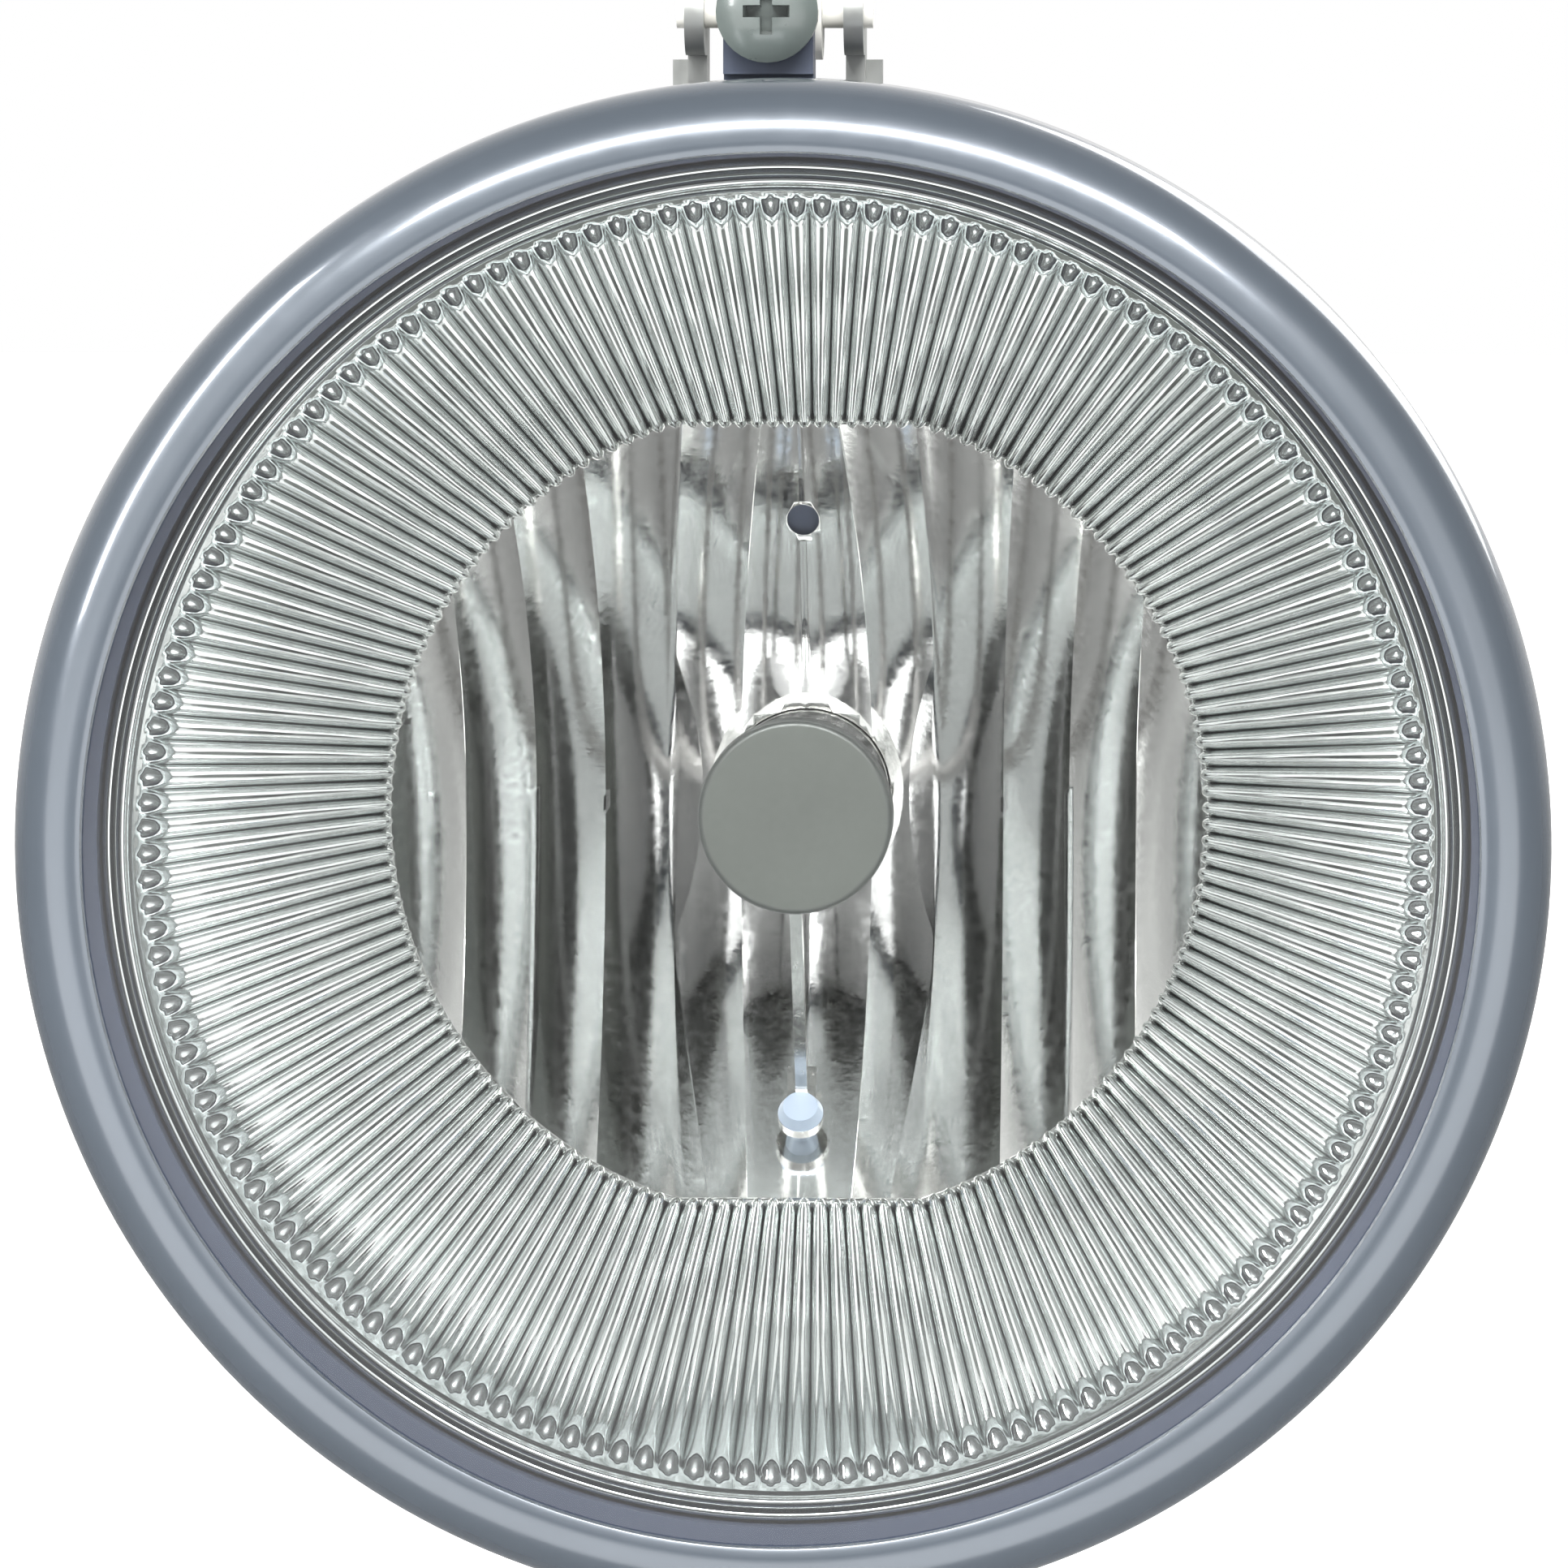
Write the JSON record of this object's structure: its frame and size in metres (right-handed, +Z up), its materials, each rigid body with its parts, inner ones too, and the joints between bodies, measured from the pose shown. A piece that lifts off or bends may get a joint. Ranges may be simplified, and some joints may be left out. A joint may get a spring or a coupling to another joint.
{
  "type": "fog light",
  "caption": "Round fog light with a clear lens, fluted chrome bezel, faceted reflector and twist-in bulb, tilting on a stud-mounted bracket under an adjuster screw.",
  "frame": {"origin": "centre of the bracket's four studs, on the face that meets the vehicle", "axes": "+Y along the studs and out of the lamp's rear, -Y the way the lamp shines, +Z up towards the adjuster screw"},
  "size_m": [0.1, 0.0788, 0.1076],
  "materials": {
    "clear_lens": "clear polished polycarbonate",
    "sealant": "matt sealant",
    "housing_plastic": "blue-grey moulded plastic",
    "bezel_chrome": "vacuum-metallised flutes",
    "reflector_mirror": "vacuum-metallised mirror",
    "shield_metal": "satin drawn steel",
    "bracket_steel": "dark electrocoat",
    "zinc_steel": "zinc plated",
    "screw_plastic": "grey-green moulded plastic",
    "white_nylon": "natural nylon",
    "base_plastic": "black moulded plastic",
    "seal_rubber": "silicone rubber",
    "vent_rubber": "black rubber",
    "quartz": "quartz glass",
    "tungsten": "tungsten wire",
    "tinned_brass": "tinned brass"
  },
  "bodies": {
    "bracket": {"mounting_bracket": "bracket_steel", "mounting_studs": "zinc_steel", "pivot_bush_left": "white_nylon", "pivot_bush_right": "white_nylon"},
    "lamp": {"housing": "housing_plastic", "lens": "clear_lens", "lens_seal": "sealant", "vent_elbow": "vent_rubber", "fluted_bezel": "bezel_chrome", "reflector": "reflector_mirror", "shield_cap": "shield_metal", "shield_strap": "shield_metal", "shield_rivet": "zinc_steel", "pivot_screw_left": "zinc_steel", "pivot_screw_right": "zinc_steel", "adjuster_washer": "zinc_steel"},
    "bulb": {"bulb_base": "base_plastic", "bulb_terminals": "tinned_brass", "bulb_seal": "seal_rubber", "bulb_collar": "zinc_steel", "bulb_glass": "quartz", "bulb_filament": "tungsten", "bulb_lead_wires": "tungsten"},
    "screw": {"adjuster_screw": "screw_plastic", "adjuster_clip": "zinc_steel"},
    "nut": {"adjuster_nut": "white_nylon"}
  },
  "joints": [
    {"name": "aim_tilt", "type": "hinge", "parent": "bracket", "child": "lamp", "pos_m": [0, -0.006, 0], "axis": [1, 0, 0], "range_deg": [-3, 3]},
    {"name": "adjuster_turn", "type": "hinge", "parent": "lamp", "child": "screw", "pos_m": [-0.0012, -0.01724, 0.0543], "axis": [0, 1, 0], "range_deg": [-1500, 1500]},
    {"name": "nut_swivel", "type": "hinge", "parent": "bracket", "child": "nut", "pos_m": [-0.0012, -0.006, 0.0543], "axis": [1, 0, 0], "range_deg": [-3, 3]},
    {"name": "bulb_twist", "type": "hinge", "parent": "lamp", "child": "bulb", "pos_m": [0, 0.03329, 0], "axis": [0, -1, 0], "range_deg": [0, 40]}
  ],
  "couplings": [
    {"joint": "adjuster_turn", "follows": "aim_tilt", "ratio": 487.4},
    {"joint": "nut_swivel", "follows": "aim_tilt", "ratio": 1}
  ]
}
